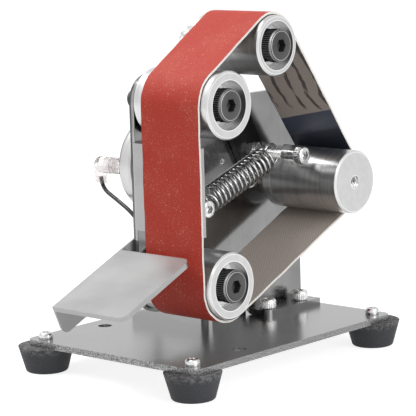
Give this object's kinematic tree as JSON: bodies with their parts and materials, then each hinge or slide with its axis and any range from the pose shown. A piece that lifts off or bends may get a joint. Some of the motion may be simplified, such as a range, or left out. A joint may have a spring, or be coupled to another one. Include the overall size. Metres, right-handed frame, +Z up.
{
  "type": "belt grinder",
  "caption": "Small bench belt grinder: a narrow abrasive belt runs over a motor-driven wheel and three idlers, past a flat platen, with a sprung tension arm and a tilting work rest.",
  "frame": {"origin": "centre of the footprint on the bench, under the feet", "axes": "+Z up; +X along the wheels' axes from the motor to the belt's open side; the belt's front run faces -Y"},
  "size_m": [0.138, 0.1501, 0.141],
  "materials": {
    "sheet_steel": "brushed",
    "wheel_aluminium": "turned",
    "bearing_steel": "polished",
    "sleeve_steel": "turned",
    "black_steel": "black oxide",
    "zinc_steel": "bright zinc",
    "spring_steel": "bright wire",
    "abrasive": "coated abrasive",
    "motor_steel": "satin plated",
    "clear_vinyl": "clear",
    "lead_black": "glossy",
    "socket_black": "moulded",
    "rubber": "moulded"
  },
  "bodies": {
    "frame": {"abrasive_belt": "abrasive", "base_plate": "sheet_steel", "far_lead": "lead_black", "far_terminal_boot": "clear_vinyl", "foot_nuts": "zinc_steel", "foot_screws": "zinc_steel", "front_left_foot": "rubber", "front_right_foot": "rubber", "lower_axle_bolt": "black_steel", "lower_axle_sleeves": "sleeve_steel", "lower_bearing_inner_rings": "bearing_steel", "lower_clinch_nut": "zinc_steel", "lower_spring_post": "zinc_steel", "lower_spring_post_nuts": "zinc_steel", "motor_can": "motor_steel", "motor_end_cap": "motor_steel", "motor_screws": "zinc_steel", "motor_terminals": "zinc_steel", "near_lead": "lead_black", "near_terminal_boot": "clear_vinyl", "pivot_bolt": "zinc_steel", "pivot_nut": "zinc_steel", "pivot_spacer": "sleeve_steel", "platen": "sheet_steel", "platen_nuts": "zinc_steel", "platen_screws": "zinc_steel", "power_socket": "socket_black", "power_socket_pin": "zinc_steel", "rear_left_foot": "rubber", "rear_right_foot": "rubber", "rest_clamp_screw": "zinc_steel", "tension_spring": "spring_steel", "upper_axle_bolt": "black_steel", "upper_axle_sleeves": "sleeve_steel", "upper_bearing_inner_rings": "bearing_steel", "upper_clinch_nut": "zinc_steel", "upright": "sheet_steel", "upright_bolt_nuts": "zinc_steel", "upright_bolts": "zinc_steel"},
    "drive": {"drive_wheel": "wheel_aluminium", "drive_wheel_grub": "black_steel", "motor_shaft": "sleeve_steel"},
    "lower_roller": {"lower_idler": "wheel_aluminium", "lower_bearing_outer_rings": "bearing_steel"},
    "upper_roller": {"upper_idler": "wheel_aluminium", "upper_bearing_outer_rings": "bearing_steel"},
    "arm": {"tension_arm": "sheet_steel", "tension_axle_bolt": "black_steel", "tension_axle_sleeves": "sleeve_steel", "tension_bearing_inner_rings": "bearing_steel", "tension_axle_nut": "zinc_steel", "upper_spring_post": "zinc_steel", "upper_spring_post_nut": "zinc_steel"},
    "tension_roller": {"tension_idler": "wheel_aluminium", "tension_bearing_outer_rings": "bearing_steel"},
    "rest": {"work_rest": "sheet_steel"}
  },
  "joints": [
    {"name": "drive_spin", "type": "hinge", "parent": "frame", "child": "drive", "pos_m": [0.0227, 0.0495, 0.07], "axis": [1, 0, 0], "continuous": true},
    {"name": "lower_roller_spin", "type": "hinge", "parent": "frame", "child": "lower_roller", "pos_m": [0.0387, -0.0199, 0.0383], "axis": [1, 0, 0], "continuous": true},
    {"name": "upper_roller_spin", "type": "hinge", "parent": "frame", "child": "upper_roller", "pos_m": [0.0387, -0.0199, 0.1078], "axis": [1, 0, 0], "continuous": true},
    {"name": "arm_swing", "type": "hinge", "parent": "frame", "child": "arm", "pos_m": [0.017, 0.02538, 0.09844], "axis": [1, 0, 0], "range_deg": [0, 14], "stiffness_Nm_per_rad": 0.35, "springref_deg": -40.11, "deforming": ["tension_spring"]},
    {"name": "tension_roller_spin", "type": "hinge", "parent": "arm", "child": "tension_roller", "pos_m": [0.0387, 0.0094, 0.128], "axis": [1, 0, 0], "continuous": true},
    {"name": "rest_tilt", "type": "hinge", "parent": "frame", "child": "rest", "pos_m": [0.0142, -0.01676, 0.05304], "axis": [1, 0, 0], "range_deg": [-25, 0]}
  ],
  "couplings": [
    {"joint": "lower_roller_spin", "follows": "drive_spin", "ratio": 0.97786},
    {"joint": "upper_roller_spin", "follows": "drive_spin", "ratio": 0.97786},
    {"joint": "tension_roller_spin", "follows": "drive_spin", "ratio": 1.0816}
  ]
}
